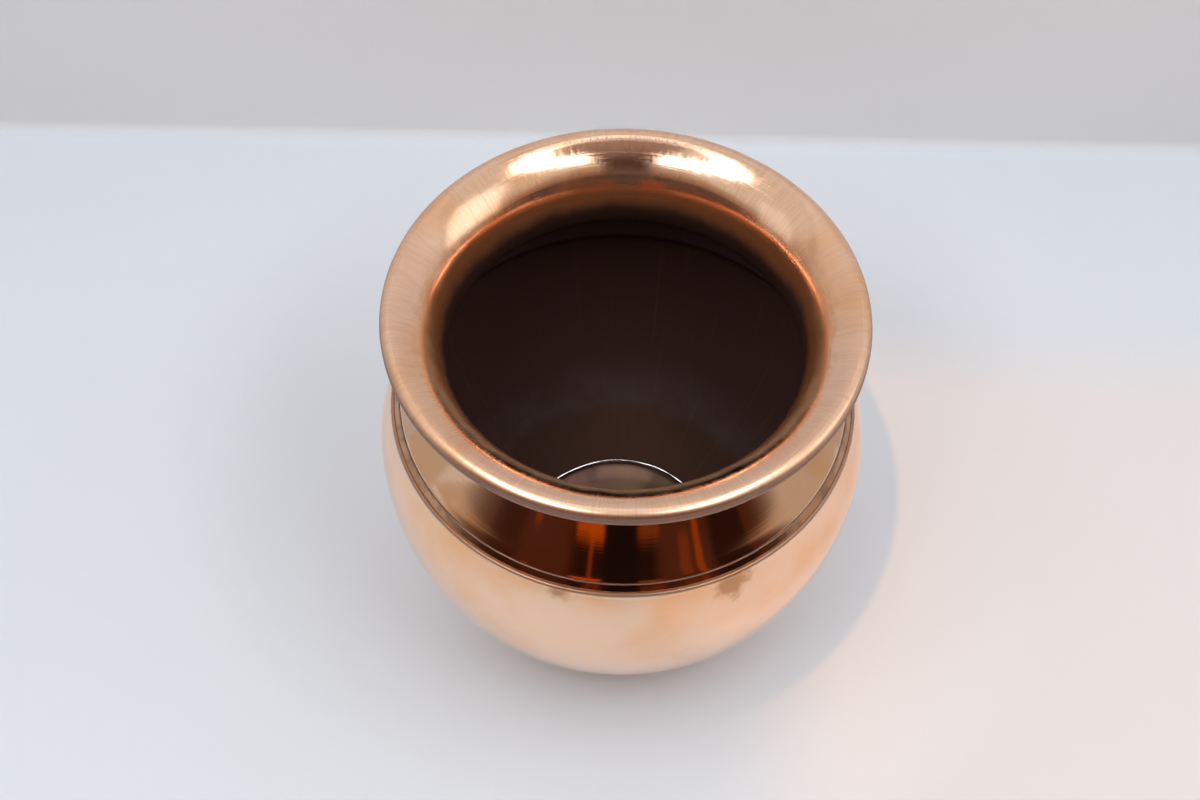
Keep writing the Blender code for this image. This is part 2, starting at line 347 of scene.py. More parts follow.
def copper_finish(colours, sizes):
    """Buffed copper, grooved by turning inside the lip, that darkens with patina from the throat down, with
    painted reflections, shade and sheen round the throat and inside.
    """
    finish = Finish("buffed_copper")
    place = finish.place()
    _, y, z = finish.parts(place)
    radius = finish.radius(place)
    waist = sizes.waist_height
    mouth = sizes.mouth_height
    inside = finish.node(
        "ShaderNodeAttribute", {"attribute_name": INSIDE, "attribute_type": "GEOMETRY"}, output="Fac"
    )
    marks = finish.turning_marks(place)
    cloud = finish.noise(place, scale=55.0, detail=4.0)
    wave = finish.noise(place, scale=24.0, detail=1.0)
    mottle = finish.noise(place, scale=90.0, detail=6.0, roughness=0.65)

    # Bright copper, with streaks down the flare and tarnish under the lip and in the shoulder seam.
    flare = inside * finish.fade(z, waist, FLARE_FOOT)
    hatch = finish.rise(finish.around(place, often=170.0, along=160.0), 0.40, 0.62)
    streak = finish.rise(finish.around(place, often=52.0, along=40.0), 0.46, 0.70)
    bright = finish.mix(finish.rise(cloud, 0.42, 0.72), colours.copper, colours.copper_deep_and_reflection)
    bright = finish.mix(flare * (streak * 0.2 + hatch * 0.2), bright, colours.streak)
    under = finish.fade(z, sizes.lip_height, UNDER_SPAN)
    edge = under * finish.fade(z, waist, EDGE_FOOT)
    edge = edge * finish.fade(radius, sizes.lip_radius, EDGE_RADIUS)
    bright = finish.mix(edge * 0.9, bright, colours.tarnish)
    seam = finish.fade(z, mouth, SEAM_FOOT) * (1.0 - inside)
    seam = seam * finish.fade(z, mouth, SEAM_TOP)
    bright = finish.mix(seam * 0.75, bright, colours.tarnish)
    blot = finish.noise(place, scale=300.0, detail=3.0)
    for centre, size in STAINS:
        away = finish.node("ShaderNodeVectorMath", {"operation": "DISTANCE"}, {0: place, 1: centre}, "Value")
        spot = finish.rise(away + (blot - 0.5) * size * 1.5, size, size * 0.3)
        bright = finish.mix(spot * 0.7, bright, colours.stain)
    lip = flare * finish.fade(radius, sizes.lip_radius, LIP_RADIUS)
    # Painted reflection: deeper copper towards the throat, where copper is seen in copper.
    throat = inside * finish.fade(z, waist, THROAT_SPAN)
    bright = finish.mix(throat, bright, colours.copper_deep_and_reflection)

    # Painted orange reflection above the throat on the front and sides, brown tarnish round the throat, then
    # dark patina, begun higher on the front and sides as painted shade, with a painted grey sheen low down
    # and faint streaks.
    height = z + (finish.noise(place, scale=160.0, detail=3.0) - 0.5) * LINE_WANDER
    # Painted reflection: an orange band above the throat, on the front and sides only, standing in for the
    # far flare's edge seen in it.
    side = finish.rise(y, *SIDE_SPAN)
    warm = inside * side * finish.fade(height, waist, WARM_SPAN)
    brown = inside * finish.fade(height, waist, BROWN_SPAN)
    # Painted shade: the dark patina begins higher on the front and sides, which get less light than the back.
    dark = inside * finish.fade(height - side * SIDE_LIFT, waist, DARK_SPAN)
    low = finish.rise(z + mottle * 0.008, *LOW_SPAN)
    # Painted sheen: a grey band low on the inside stands in for a reflection.
    painted_sheen = finish.rise(height, *SHEEN_FOOT) * finish.rise(height, *SHEEN_TOP)
    run = finish.rise(finish.around(place, often=60.0, along=14.0), 0.58, 0.74)
    patina = finish.mix(low, colours.patina_low, colours.patina)
    patina = finish.mix(painted_sheen * finish.rise(mottle, 0.25, 0.65), patina, colours.painted_sheen)
    patina = finish.mix(finish.rise(mottle, 0.45, 0.80) * 0.4, patina, colours.patina_low)
    # Painted light: the sleeve's patina is lighter, to lift the shade behind the shoulder.
    patina = finish.mix(finish.fade(z, sizes.sleeve_end, SLEEVE_SPAN), patina, colours.sleeve)
    patina = finish.mix(run * 0.10, patina, colours.throat)
    patina = finish.mix(finish.fade(z, waist, NECK_SPAN), patina, colours.neck)
    copper_tarnish_and_painted_orange = finish.mix(brown, finish.mix(warm, bright, colours.warm), colours.throat)
    finish.set(
        Base_Color=finish.mix(dark, copper_tarnish_and_painted_orange, patina),
        Metallic=1.0 - brown * 0.28 - dark * 0.42 - warm * (1.0 - brown) * 0.45,
        Roughness=0.035
        + marks * 0.04
        + cloud * 0.02
        + lip * 0.24
        + edge * 0.20
        + seam * 0.25
        + throat * 0.32
        + dark * (0.20 + mottle * 0.10),
        Specular_IOR_Level=0.15,
    )

    # Close grooves on the flare, a few wider rings at the throat, and a slow unevenness all over.
    groove = finish.noise(finish.vector(radius * 9000.0, z * 9000.0, 0.0), scale=1.0, detail=1.0) - 0.5
    ring = finish.noise(finish.vector(0.0, 0.0, z * 1100.0), scale=1.0, detail=1.0) - 0.5
    near = inside * finish.fade(z, waist, RINGS_TOP) * finish.fade(z, waist, RINGS_FOOT)
    finish.set(
        Normal=finish.layered(
            finish.bump(wave, strength=0.10, distance=0.002),
            finish.bump(ring * near, strength=1.0, distance=0.00004),
            finish.bump(groove * (0.05 + hatch) * flare, strength=1.0, distance=0.000016),
            finish.bump(marks, strength=0.03, distance=0.0002),
        )
    )
    return finish.material


def disc_finish(colours):
    """Copper floor with a heat tint from the soldering, and painted shade towards its right side."""
    finish = Finish("heat_tinted_floor")
    place = finish.place()
    cloud = finish.noise(place, scale=70.0, detail=4.0, roughness=0.6)
    across = finish.parts(place)[0] + (cloud - 0.5) * TINT_WANDER
    warm = finish.mix(finish.rise(across, *PINK_SPAN), colours.tint_straw, colours.tint_pink)
    # Painted shade: the floor darkens towards its right side.
    warm = finish.mix(finish.rise(across, *PAINTED_SHADE_SPAN) * 0.7, warm, colours.patina)
    stain = finish.rise(finish.noise(place, scale=130.0, detail=5.0), 0.52, 0.85) * 0.6
    finish.set(
        Base_Color=finish.mix(stain, warm, colours.patina),
        Metallic=0.45,
        Roughness=0.52 + cloud * 0.16,
        Normal=finish.bump(cloud, strength=0.15, distance=0.001),
    )
    return finish.material


def solder_finish(colours):
    """Bright solder with a slightly frosted skin, grimy along both edges."""
    finish = Finish("bright_solder")
    place = finish.place()
    frost = finish.noise(place, scale=900.0, detail=4.0)
    uneven = finish.noise(place, scale=160.0, detail=3.0)
    dull = finish.rise(uneven, 0.5, 0.8)
    reach = (SOLDER_HIGH.x - DISC_HIGH.x) / 2
    crest = finish.radius(place) - (DISC_HIGH.x + reach)
    away = finish.node("ShaderNodeMath", {"operation": "ABSOLUTE"}, {0: crest + (uneven - 0.5) * reach})
    grime = finish.rise(away, reach * 0.3, reach * 0.8)
    metal = finish.mix(dull, colours.solder, colours.solder_dull)
    finish.set(
        Base_Color=finish.mix(grime, metal, colours.patina),
        Metallic=1.0,
        Roughness=0.16 + frost * 0.12 + dull * 0.15,
        Normal=finish.bump(frost, strength=0.12, distance=0.0004),
    )
    return finish.material


def braze_finish(colours):
    """Braze in the shoulder seam, smooth on its face and dull along its upper edge."""
    finish = Finish("brown_braze")
    place = finish.place()
    height = finish.parts(place)[2]
    grime = finish.noise(place, scale=380.0, detail=4.0)
    dull = finish.fade(height + grime * DULL_WANDER, BRAZE_HIGH.z, DULL_SPAN)
    face = finish.mix(finish.rise(grime, 0.45, 0.75) * 0.6, colours.braze, colours.tarnish)
    finish.set(
        Base_Color=finish.mix(dull * 0.8, face, colours.tarnish),
        Metallic=1.0,
        Roughness=0.06 + grime * 0.08 + dull * 0.35,
        Normal=finish.bump(grime, strength=0.1, distance=0.0002),
    )
    return finish.material


def wire_finish(colours):
    """Drawn steel wire with faint lengthwise lines."""
    finish = Finish("drawn_wire")
    place = finish.place()
    x, y, z = finish.parts(place)
    rings = finish.vector(finish.radius(place) * 9000.0, z * 9000.0, x * 60.0)
    lines = finish.noise(rings, scale=1.0, detail=2.0, w=y * 60.0)
    finish.set(
        Base_Color=finish.mix(lines, colours.steel, colours.steel_dark),
        Metallic=1.0,
        Roughness=0.28 + lines * 0.15,
        Normal=finish.bump(lines, strength=0.2, distance=0.0002),
    )
    return finish.material


class Profile:
    """A chain of edges in the XZ plane, drawn from point to point, that is then turned about the Z axis."""

    def __init__(self, radius, height):
        self.bm = bmesh.new()
        self.tip = self.bm.verts.new((radius, 0.0, height))

    def line(self, radius, height, steps=1):
        """A straight run to a point, in equal steps."""
        start = self.tip.co.copy()
        step = (Vector((radius, 0.0, height)) - start) / steps
        for _ in range(steps):
            made = bmesh.ops.extrude_vert_indiv(self.bm, verts=[self.tip])
            self.tip = made["verts"][0]
            self.tip.co += step
        return self

    def arc(self, centre, sweep, steps, stretch=1.0):
        """An arc round a centre; a positive sweep turns from +X to +Z, and a stretch makes it taller."""
        squash = Matrix.Diagonal((1.0, 1.0, 1.0 / stretch, 1.0))
        spun = bmesh.ops.spin(
            self.bm,
            geom=[self.tip],
            cent=squash @ Vector((centre[0], 0.0, centre[1])),
            axis=(0.0, -1.0, 0.0),
            angle=sweep,
            steps=steps,
            space=squash,
        )
        self.tip = spun["geom_last"][0]
        return self

    def bow(self, radius, height, bend, steps):
        """A slightly hollow run to a point, whose centre of curvature is on the outer side."""
        start = self.tip.co.xz
        chord = Vector((radius, height)) - start
        half = math.asin(chord.length / 2 / bend)
        outward = Vector((-chord.y, chord.x)).normalized()
        centre = start + chord / 2 + outward * bend * math.cos(half)
        return self.arc(centre, 2 * half, steps)

    def soften(self, vert, offset, segments):
        """Rounds one corner of the chain."""
        bmesh.ops.bevel(
            self.bm,
            geom=[vert],
            offset=offset,
            offset_type="OFFSET",
            affect="VERTICES",
            segments=segments,
            profile=0.5,
            material=-1,
        )
        return self

    def turn(self, steps):
        """The surface of the chain turned once round the Z axis."""
        bmesh.ops.spin(
            self.bm,
            geom=self.bm.verts[:] + self.bm.edges[:],
            cent=CENTRE,
            axis=AXIS,
            angle=math.tau,
            steps=steps,
            use_merge=True,
        )
        bmesh.ops.remove_doubles(self.bm, verts=self.bm.verts, dist=MERGE_DISTANCE)
        bmesh.ops.recalc_face_normals(self.bm, faces=self.bm.faces)
        return self.bm


def give_thickness(bm, thickness, drawn_inside):
    """Makes a sheet of a turned surface, and marks which of its sides is the inside of the pot."""
    mark = bm.verts.layers.float.new(INSIDE)
    facing = sum(face.normal.xy.dot(face.calc_center_median().xy) * face.calc_area() for face in bm.faces)
    if (facing > 0) == drawn_inside:
        bmesh.ops.reverse_faces(bm, faces=bm.faces)
    drawn = set(bm.verts)
    bmesh.ops.solidify(bm, geom=bm.faces[:], thickness=thickness)
    for vert in bm.verts:
        vert[mark] = float((vert in drawn) == drawn_inside)


def add_piece(bm, name, node, material):
    """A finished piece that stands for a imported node."""
    mesh = bpy.data.meshes.new(name)
    bm.to_mesh(mesh)
    bm.free()
    mesh.shade_smooth()
    mesh.materials.append(material)
    piece = bpy.data.objects.new(name, mesh)
    bpy.context.scene.collection.objects.link(piece)
    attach(piece, "root")
    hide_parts(node)


def settings(context):
    return context.scene.lota_sizes, context.scene.lota_finishes


class LOTA_OT_neck_collar(bpy.types.Operator):
    """Add the flared neck with its rolled lip and the sleeve that enters the bowl"""

    bl_idname = "lota.neck_collar"
    bl_label = "Neck collar"

    CURL_END = math.radians(167.6)
    LIP_STEPS = 26
    FLARE_STEPS = 40
    WAIST_STEPS = 12
    CONE_STEPS = 8
    BEND_STEPS = 10
    SLEEVE_STEPS = 3
    SLEEVE_EDGE = 0.00015

    def execute(self, context):
        sizes, colours = settings(context)
        sheet = sizes.sheet
        bead_radius = sizes.wire_radius + sizes.clearance + sheet
        bead = (sizes.lip_radius - bead_radius, sizes.lip_height)

        # The flare is one arc that touches the bead and stands upright at the throat.
        throat = sizes.waist_radius - sheet
        inward = bead[0] - throat
        rise = sizes.lip_height - sizes.waist_height
        flare_radius = (inward**2 + rise**2 - bead_radius**2) / (2 * (inward - bead_radius))
        flare = (throat + flare_radius, sizes.waist_height)
        touch = math.atan2(rise, bead[0] - flare[0])

        # The bends are given on the neck's outer face and drawn here on its inner one.
        sleeve = BRAZE_HIGH.x - sizes.braze_leg - sizes.clearance
        bends = sizes.waist_bend + sizes.sleeve_bend
        drop = sizes.waist_height - sizes.mouth_height
        across = sleeve - sizes.waist_radius - bends
        cone = math.sqrt(drop**2 + across**2 - bends**2)
        slope = math.atan2(across, drop) + math.atan2(bends, cone)
        waist = (sizes.waist_radius + sizes.waist_bend, sizes.waist_height)
        bend = (sleeve - sizes.sleeve_bend, sizes.mouth_height)
        bend_radius = sizes.sleeve_bend - sheet
        bend_start = (bend[0] + bend_radius * math.cos(slope), bend[1] + bend_radius * math.sin(slope))

        start = (
            bead[0] + bead_radius * math.cos(self.CURL_END),
            bead[1] - bead_radius * math.sin(self.CURL_END),
        )
        profile = Profile(*start)
        profile.arc(bead, self.CURL_END + touch, self.LIP_STEPS)
        profile.arc(flare, math.pi - touch, self.FLARE_STEPS)
        profile.arc(waist, slope, self.WAIST_STEPS)
        profile.bow(*bend_start, sizes.neck_bow, self.CONE_STEPS)
        profile.arc(bend, -slope, self.BEND_STEPS)
        profile.line(sleeve - sheet, sizes.sleeve_end, self.SLEEVE_STEPS)
        bm = profile.turn(sizes.turn_steps)
        give_thickness(bm, sheet, drawn_inside=True)
        self.thin_sleeve(bm, sizes, sleeve)
        add_piece(bm, "collar_sheet", "neck_collar", copper_finish(colours, sizes))
        return {"FINISHED"}

    def thin_sleeve(self, bm, sizes, sleeve):
        """Tapers the sleeve from the inside, to a thin edge that lies close to the bowl."""
        run = sizes.mouth_height - sizes.sleeve_end
        for vert in bm.verts:
            down = (sizes.mouth_height - vert.co.z) / run
            flat = vert.co.xy
            if down > 0 and flat.length < sleeve - sizes.sheet / 2:
                flat *= (flat.length + down * (sizes.sheet - self.SLEEVE_EDGE)) / flat.length
                vert.co.xy = flat


class LOTA_OT_bowl(bpy.types.Operator):
    """Add the round bowl with its cut edge at the shoulder and its flat flange below"""

    bl_idname = "lota.bowl"
    bl_label = "Bowl"

    OVERRUN = 0.002
    SHOULDER_STEPS = 16
    BELLY_STEPS = 44
    FOOT_STEPS = 6
    LEDGE_BEVEL = 0.00016
    LEDGE_SEGMENTS = 2

    def execute(self, context):
        sizes, colours = settings(context)
        shoulder_rise = sizes.mouth_height - sizes.belly_height
        shoulder_height = shoulder_rise / math.sqrt(1 - (sizes.mouth_radius / sizes.belly_radius) ** 2)
        top = math.asin((shoulder_rise + self.OVERRUN) / shoulder_height)
        belly = (0.0, sizes.belly_height)
        drop = sizes.belly_height + sizes.foot_cut
        cut = math.asin(sizes.belly_height / drop)
        slope = math.atan2(drop * math.cos(cut), sizes.belly_radius * math.sin(cut))
        tangent = sizes.foot_fillet * math.tan(slope / 2)
        foot = sizes.belly_radius * math.cos(cut)

        profile = Profile(
            sizes.belly_radius * math.cos(top), sizes.belly_height + shoulder_height * math.sin(top)
        )
        profile.arc(belly, -top, self.SHOULDER_STEPS, shoulder_height / sizes.belly_radius)
        profile.arc(belly, -cut, self.BELLY_STEPS, drop / sizes.belly_radius)
        corner = profile.tip
        profile.line(foot - tangent - sizes.flange_width, 0.0)
        profile.soften(corner, tangent, self.FOOT_STEPS)
        bm = profile.turn(sizes.turn_steps)
        give_thickness(bm, sizes.sheet, drawn_inside=False)
        self.cut_mouth(bm, sizes)
        add_piece(bm, "bowl_sheet", "bowl", copper_finish(colours, sizes))
        return {"FINISHED"}

    def cut_mouth(self, bm, sizes):
        """Cuts the wall level at the mouth, and takes the sharpness off the ledge that this leaves."""
        level = sizes.mouth_height
        bmesh.ops.bisect_plane(
            bm,
            geom=bm.verts[:] + bm.edges[:] + bm.faces[:],
            plane_co=(0.0, 0.0, level),
            plane_no=AXIS,
            clear_outer=True,
        )
        rim = [edge for edge in bm.edges if edge.is_boundary]
        bridged = bmesh.ops.bridge_loops(bm, edges=rim)
        bmesh.ops.recalc_face_normals(bm, faces=bridged["faces"])
        outer = [edge for edge in rim if edge.verts[0].co.xy.length > sizes.mouth_radius - sizes.sheet / 2]
        bmesh.ops.bevel(
            bm,
            geom=outer,
            offset=self.LEDGE_BEVEL,
            offset_type="OFFSET",
            affect="EDGES",
            segments=self.LEDGE_SEGMENTS,
            profile=0.5,
            material=-1,
        )


class LOTA_OT_shoulder_braze(bpy.types.Operator):
    """Add the uneven fillet of braze on the ledge"""

    bl_idname = "lota.shoulder_braze"
    bl_label = "Shoulder braze"

    SEAT = 0.00004
    TOP = math.radians(30.0)
    BEND_STEPS = 5
    FACE_STEPS = 6
    WAVES = 70.0
    UNEVEN = 0.00012

    def execute(self, context):
        sizes, colours = settings(context)
        sleeve = BRAZE_HIGH.x - sizes.braze_leg - sizes.clearance
        inside = sleeve + self.SEAT
        base = sizes.mouth_height + self.SEAT
        profile = Profile(inside, base)
        profile.arc((sleeve - sizes.sleeve_bend, base), self.TOP, self.BEND_STEPS)
        profile.line(BRAZE_HIGH.x, base, self.FACE_STEPS)
        profile.line(inside, base, 2)
        bm = profile.turn(sizes.turn_steps)
        for vert in bm.verts:
            outward = max(0.0, (vert.co.xy.length - inside) / (BRAZE_HIGH.x - inside))
            lift = noise.noise(vert.co * self.WAVES) * self.UNEVEN
            vert.co.z += lift * outward * (vert.co.z > base)
        add_piece(bm, "braze_fillet", "shoulder_braze", braze_finish(colours))
        return {"FINISHED"}


class LOTA_OT_base_disc(bpy.types.Operator):
    """Add the dished floor that closes the bowl"""

    bl_idname = "lota.base_disc"
    bl_label = "Base disc"

    FLAT_STEPS = 14
    SLOPE_STEPS = 4
    BEND_SEGMENTS = 6
    BEND_OFFSET = 0.0008
    FLAT_RADIUS = 0.0197
    EDGE_SHARE = 0.4

    def execute(self, context):
        sizes, colours = settings(context)
        top = DISC_LOW.z + sizes.sheet
        profile = Profile(0.0, top)
        profile.line(self.FLAT_RADIUS, top, self.FLAT_STEPS)
        corner = profile.tip
        profile.line(sizes.disc_radius - sizes.sheet * self.EDGE_SHARE, DISC_HIGH.z, self.SLOPE_STEPS)
        profile.soften(corner, self.BEND_OFFSET, self.BEND_SEGMENTS)
        bm = profile.turn(sizes.turn_steps)
        upward = sum(face.normal.z for face in bm.faces) > 0
        if not upward:
            bmesh.ops.reverse_faces(bm, faces=bm.faces)
        bmesh.ops.solidify(bm, geom=bm.faces[:], thickness=sizes.sheet)
        add_piece(bm, "floor_disc", "base_disc", disc_finish(colours))
        return {"FINISHED"}


class LOTA_OT_base_solder(bpy.types.Operator):
    """Add the uneven bead of solder round the floor"""

    bl_idname = "lota.base_solder"
    bl_label = "Base solder"

    BEAD_STEPS = 10
    COARSE = 60.0
    FINE = 260.0
    FINE_SHARE = 0.5
    UNEVEN = 0.00035
    LIFT_SHARE = 0.5
    LIFT_SHIFT = Vector((1.0, 0.0, 3.0))

    def execute(self, context):
        sizes, colours = settings(context)
        half = (SOLDER_HIGH.z - SOLDER_LOW.z) / 2
        middle = (SOLDER_HIGH.x - sizes.solder_width / 2, SOLDER_LOW.z + half)
        profile = Profile(middle[0] + half, middle[1])
        profile.arc(middle, math.tau, self.BEAD_STEPS)
        bm = profile.turn(sizes.turn_steps)
        for vert in bm.verts:
            flat = Vector((vert.co.x, vert.co.y, 0.0))
            out = flat.normalized()
            sway = noise.noise(flat * self.COARSE) + self.FINE_SHARE * noise.noise(flat * self.FINE)
            vert.co += out * sway * self.UNEVEN
            lift = noise.noise(flat * self.FINE + self.LIFT_SHIFT)
            vert.co.z += lift * self.UNEVEN * self.LIFT_SHARE
        add_piece(bm, "solder_bead", "base_solder", solder_finish(colours))
        return {"FINISHED"}


class LOTA_OT_rim_wire(bpy.types.Operator):
    """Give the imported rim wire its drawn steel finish"""

    bl_idname = "lota.rim_wire"
    bl_label = "Rim wire"

    def execute(self, context):
        colours = settings(context)[1]
        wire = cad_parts["rim_wire"]
        steel = wire_finish(colours)
        for slot in wire.material_slots:
            slot.material = steel
        return {"FINISHED"}


class LOTA_OT_stage(bpy.types.Operator):
    """Add the table, the wall, the cards, the ring light, the room light and the camera"""

    bl_idname = "lota.stage"
    bl_label = "Stage"

    TABLE_HALF = 3.0
    TABLE_DROP = 0.00005
    # Painted warm light on the table: its middle, the painted edge of the pot's shadow, where the brighter
    # part near the pot begins and is full, and its bounds along X and Y.
    WARM_CENTRE = (-0.0036, 0.0231, 0.0)
    WARM_EDGE = (0.0735, 0.0765)
    WARM_NEAR = (0.125, 0.075)
    WARM_SIDE = (0.02, 0.06)
    WARM_BACK = (0.08, 0.045)
    WALL_HALF = 0.6
    WALL_HEIGHT = 0.5
    WALL_PLACE = (0.0, 0.1393, 0.0)
    WALL_TURN = math.radians(1.27)
    WALL_DIM = 0.97
    COVE = 0.003
    COVE_LIFT = 0.0002
    COVE_STEPS = 8

    CARD_DISTANCE = 0.55
    CARD_HALF = 2.6
    CARD_HEIGHT = 0.60
    CARD_MIDDLE = 0.12
    CARD_FADE = (0.70, 2.2)
    CARD_HAZE = (0.36, 0.46)
    CARD_TOP = (0.46, 0.60)
    CARD_SWAY = 0.03
    CARD_MARGIN = 1.2
    BAND_SOFT = (1.15, 0.75)
    BAND_FOOT = (-0.03, 0.01)
    BAND_TOP = (0.03, -0.01)
    # Each warm strip and shade: its middle, half width and strength, and the heights it runs between.
    STRIPS = (
        (-0.395, 0.022, 0.35, 0.0, 0.25),
        (-0.118, 0.060, 0.95, 0.0, 0.25),
        (-0.107, 0.008, 0.45, 0.25, 0.5),
        (0.135, 0.050, 0.30, 0.0, 0.25),
        (0.300, 0.030, 0.25, 0.27, 0.5),
        (0.375, 0.020, 0.50, 0.0, 0.5),
    )
    SHADES = (
        (0.020, 0.075, 1.0, 0.0, 0.5),
        (-0.010, 0.190, 0.9, 0.25, 0.5),
        (0.620, 0.170, 0.8, 0.0, 0.5),
        (-0.620, 0.150, 0.4, 0.0, 0.5),
    )
    GAP_STRIPE = (0.022, 0.125)

    GAP_PLACE = (0.022, -0.3625, 0.535)
    GAP_HALF = (0.107, 0.3425)
    GAP_FADE = (-0.40, -0.05)

    # Each side card: its place in X, the middle and the half size of its glow in Y and Z, and its level.
    SIDES = (
        (0.50, (-0.035, 0.45), (0.16, 0.22), 1.45),
        (-0.50, (-0.090, 0.38), (0.10, 0.18), 0.85),
        (-0.48, (-0.150, 0.132), (0.085, 0.016), 0.58),
    )

    RING_HEIGHT = 0.54
    RING_INNER = ((0.0, -0.115), (0.17, 0.115))
    RING_OUTER = ((-0.003, -0.17), (0.285, 0.222))
    RING_START = math.radians(-53.0)
    RING_SWEEP = math.radians(301.0)
    RING_STEPS = 48
    RING_BACK = (-0.05, 0.0)
    RING_MIDDLE = (0.16, 0.10)
    RING_DIM = 0.2

    ROOM_RISE = (0.2, 0.62)

    CAMERA_PLACE = (0.0, -0.21134, 0.37123)
    CAMERA_RIGHT = (0.99924, 0.03771, 0.00985)
    CAMERA_UP = (-0.03663, 0.82223, 0.56798)
    CAMERA_BACK = (0.01332, -0.56790, 0.82299)
    LENS = 51.0
    SENSOR = 36.0
    CLIP_START = 0.01

    def execute(self, context):
        stage = context.scene.lota_stage
        context.scene.view_settings.view_transform = "Standard"
        self.add_table(context, stage)
        self.add_wall(context, stage)
        self.add_front(context, stage)
        self.add_sides(context)
        self.add_room(context, stage)
        self.add_gap(context, stage)
        self.add_ring(context, stage)
        self.add_camera(context)
        return {"FINISHED"}

    def add_card(self, context, name, bm, material):
        mesh = bpy.data.meshes.new(name)
        bm.to_mesh(mesh)
        bm.free()
        mesh.materials.append(material)
        card = bpy.data.objects.new(name, mesh)
        context.scene.collection.objects.link(card)
        return card

    def add_table(self, context, stage):
        """A table top just under the pot, seen only from above, with painted light on its right."""
        bm = bmesh.new()
        lower = Matrix.Translation((0.0, 0.0, -self.TABLE_DROP))
        bmesh.ops.create_grid(bm, x_segments=1, y_segments=1, size=self.TABLE_HALF, matrix=lower)
        finish = Finish("pale_table")
        spot = finish.place()
        x, y, _ = finish.parts(spot)
        # Painted light: a warm pool of light right of the pot, beyond the painted edge of the pot's shadow.
        moved = finish.node("ShaderNodeVectorMath", {"operation": "SUBTRACT"}, {0: spot, 1: self.WARM_CENTRE})
        away = finish.radius(moved)
        edge = finish.rise(away, *self.WARM_EDGE)
        warm = edge * finish.rise(x, *self.WARM_SIDE) * finish.rise(y, *self.WARM_BACK)
        # Painted light: the table is brighter close to the pot, which lifts the pot's shadow there.
        tint = finish.mix(finish.rise(away, *self.WARM_NEAR), stage.table_painted_warm_light, stage.table_painted_light_near)
        finish.set(Base_Color=finish.mix(warm, stage.table, tint), Roughness=0.55)
        self.front_only(finish)
        self.add_card(context, "table", bm, finish.material)

    def add_wall(self, context, stage):
        """A wall on a small cove, seen only from its front."""
        bm = bmesh.new()
        path = ((-2 * self.COVE, -self.COVE_LIFT), (0.0, self.COVE_LIFT), (0.0, self.WALL_HEIGHT))
        foot, corner, top = (bm.verts.new((-self.WALL_HALF, y, z)) for y, z in path)
        bm.edges.new((foot, corner))
        bm.edges.new((corner, top))
        bmesh.ops.bevel(
            bm,
            geom=[corner],
            offset=self.COVE,
            offset_type="OFFSET",
            affect="VERTICES",
            segments=self.COVE_STEPS,
            profile=0.5,
            material=-1,
        )
        grown = bmesh.ops.extrude_edge_only(bm, edges=bm.edges[:])["geom"]
        ends = [item for item in grown if isinstance(item, bmesh.types.BMVert)]
        bmesh.ops.translate(bm, verts=ends, vec=(2 * self.WALL_HALF, 0.0, 0.0))
        bmesh.ops.recalc_face_normals(bm, faces=bm.faces)
        if sum(face.normal.y * face.calc_area() for face in bm.faces) > 0:
            bmesh.ops.reverse_faces(bm, faces=bm.faces)
        turn = Matrix.Translation(self.WALL_PLACE) @ Matrix.Rotation(self.WALL_TURN, 4, "Z")
        bmesh.ops.transform(bm, matrix=turn, space=Matrix.Identity(4), verts=bm.verts)
        finish = Finish("pale_wall")
        spot = finish.place()
        height = finish.parts(spot)[2]
        dim = tuple(self.WALL_DIM * part for part in stage.wall)
        paint = finish.mix(finish.noise(spot, scale=7.0, detail=3.0), stage.wall, dim)
        paint = finish.mix(finish.rise(height, self.COVE_LIFT, self.COVE), stage.table, paint)
        finish.set(Base_Color=paint, Roughness=0.7)
        self.front_only(finish)
        self.add_card(context, "wall", bm, finish.material)

    def front_only(self, finish):
        """Makes a card clear to the camera from behind, so that views from there show the pot."""
        behind = finish.node("ShaderNodeNewGeometry", output="Backfacing")
        seen = finish.node("ShaderNodeLightPath", output="Is Camera Ray")
        clear = finish.node("ShaderNodeBsdfTransparent")
        painted = Field(finish, finish.shader.outputs[0])
        shown = finish.node("ShaderNodeMixShader", inputs={0: behind * seen, 1: painted, 2: clear})
        finish.feed(finish.tree.nodes["Material Output"].inputs["Surface"], shown)

    def add_glow(self, context, name, bm, finish, strength=1.0):
        """A card that gives off its colour and that the camera does not see."""
        finish.set(Base_Color=(0.0, 0.0, 0.0, 1.0), Roughness=1.0, Specular_IOR_Level=0.0)
        finish.set(Emission_Strength=strength)
        card = self.add_card(context, name, bm, finish.material)
        card.visible_camera = False

